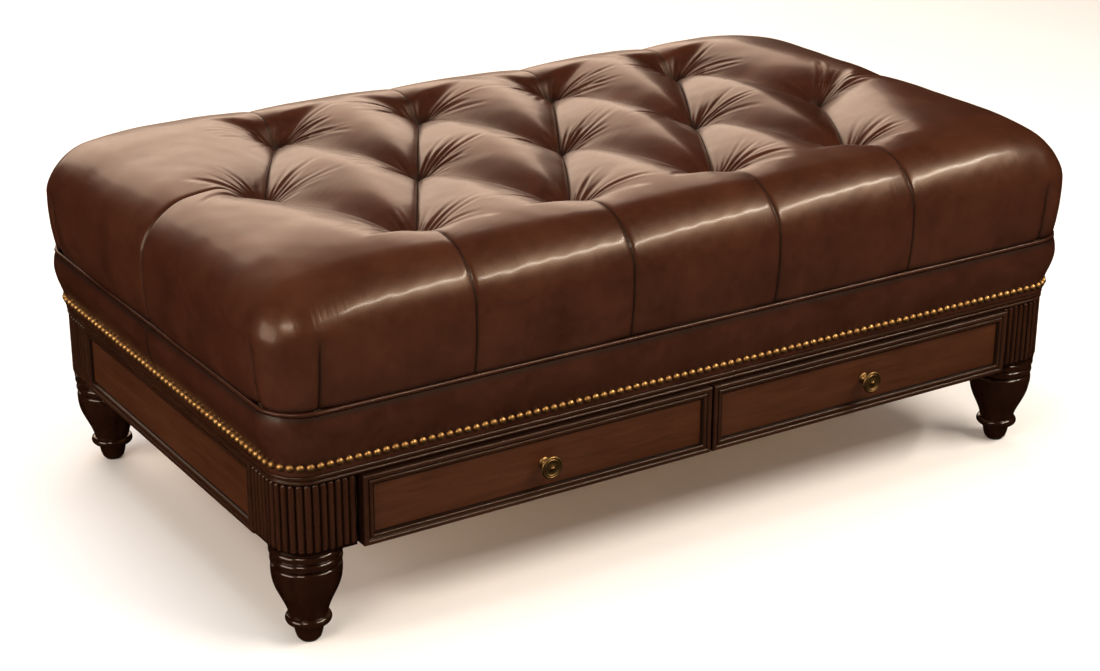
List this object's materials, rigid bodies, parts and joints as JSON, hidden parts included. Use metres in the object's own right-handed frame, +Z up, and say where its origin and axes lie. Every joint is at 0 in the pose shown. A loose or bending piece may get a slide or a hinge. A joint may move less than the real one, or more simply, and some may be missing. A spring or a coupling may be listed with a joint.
{
  "type": "ottoman with storage",
  "caption": "Rectangular tufted leather ottoman on turned legs, with a nailed band, a reeded and moulded wooden case and sliding storage drawers in its front.",
  "frame": {"origin": "centre of the footprint on the floor, under the middle of the case", "axes": "+Z up, +X along the length to the right as seen from the front, -Y towards the drawer fronts"},
  "size_m": [1.286, 0.7825, 0.494],
  "materials": {
    "dark_wood": "dark mahogany stain under a glossy lacquer",
    "panel_wood": "red-brown mahogany stain, satin lacquer",
    "plain_wood": "plain sanded hardwood and plywood",
    "leather": "antiqued dark brown leather with a soft sheen",
    "foam": "open-cell upholstery foam",
    "twine": "waxed linen twine",
    "dust_cloth": "black non-woven dust cloth",
    "nail_brass": "antiqued brass nail heads",
    "knob_bronze": "aged bronze-brass, dark in the grooves",
    "steel": "zinc-plated steel",
    "glide_plastic": "nylon glides"
  },
  "bodies": {
    "case": {"leg_front_left": "dark_wood", "leg_front_right": "dark_wood", "leg_rear_left": "dark_wood", "leg_rear_right": "dark_wood", "post_front_left": "dark_wood", "post_front_right": "dark_wood", "post_rear_left": "dark_wood", "post_rear_right": "dark_wood", "panel_molding_left": "dark_wood", "panel_molding_right": "dark_wood", "panel_molding_rear": "dark_wood", "front_top_rail": "dark_wood", "front_bottom_rail": "dark_wood", "top_molding_front": "dark_wood", "top_molding_rear": "dark_wood", "top_molding_left": "dark_wood", "top_molding_right": "dark_wood", "top_molding_corners": "dark_wood", "panel_left": "panel_wood", "panel_right": "panel_wood", "panel_rear": "panel_wood", "center_divider": "plain_wood", "drawer_runners": "plain_wood", "drawer_kickers": "plain_wood", "seat_rail_front": "plain_wood", "seat_rail_rear": "plain_wood", "seat_rail_left": "plain_wood", "seat_rail_right": "plain_wood", "seat_corner_blocks": "plain_wood", "deck_panel": "plain_wood", "leg_glides": "glide_plastic", "hanger_bolts": "steel", "case_bolts": "steel", "deck_screws": "steel", "dust_cover": "dust_cloth", "foam_pad": "foam", "tufted_cover": "leather", "tuft_buttons": "leather", "band_front": "leather", "band_rear": "leather", "welt_cord": "leather", "tuft_twines": "twine", "nail_heads": "nail_brass"},
    "drawer_left": {"drawer_left_front": "panel_wood", "drawer_left_molding": "dark_wood", "drawer_left_side_outer": "plain_wood", "drawer_left_side_inner": "plain_wood", "drawer_left_back": "plain_wood", "drawer_left_bottom": "plain_wood", "drawer_left_knob": "knob_bronze", "drawer_left_knob_screw": "steel"},
    "drawer_right": {"drawer_right_front": "panel_wood", "drawer_right_molding": "dark_wood", "drawer_right_side_outer": "plain_wood", "drawer_right_side_inner": "plain_wood", "drawer_right_back": "plain_wood", "drawer_right_bottom": "plain_wood", "drawer_right_knob": "knob_bronze", "drawer_right_knob_screw": "steel"}
  },
  "joints": [
    {"name": "left_drawer_slide", "type": "slide", "parent": "case", "child": "drawer_left", "axis": [0, -1, 0], "range_m": [0, 0.4]},
    {"name": "right_drawer_slide", "type": "slide", "parent": "case", "child": "drawer_right", "axis": [0, -1, 0], "range_m": [0, 0.4]}
  ]
}
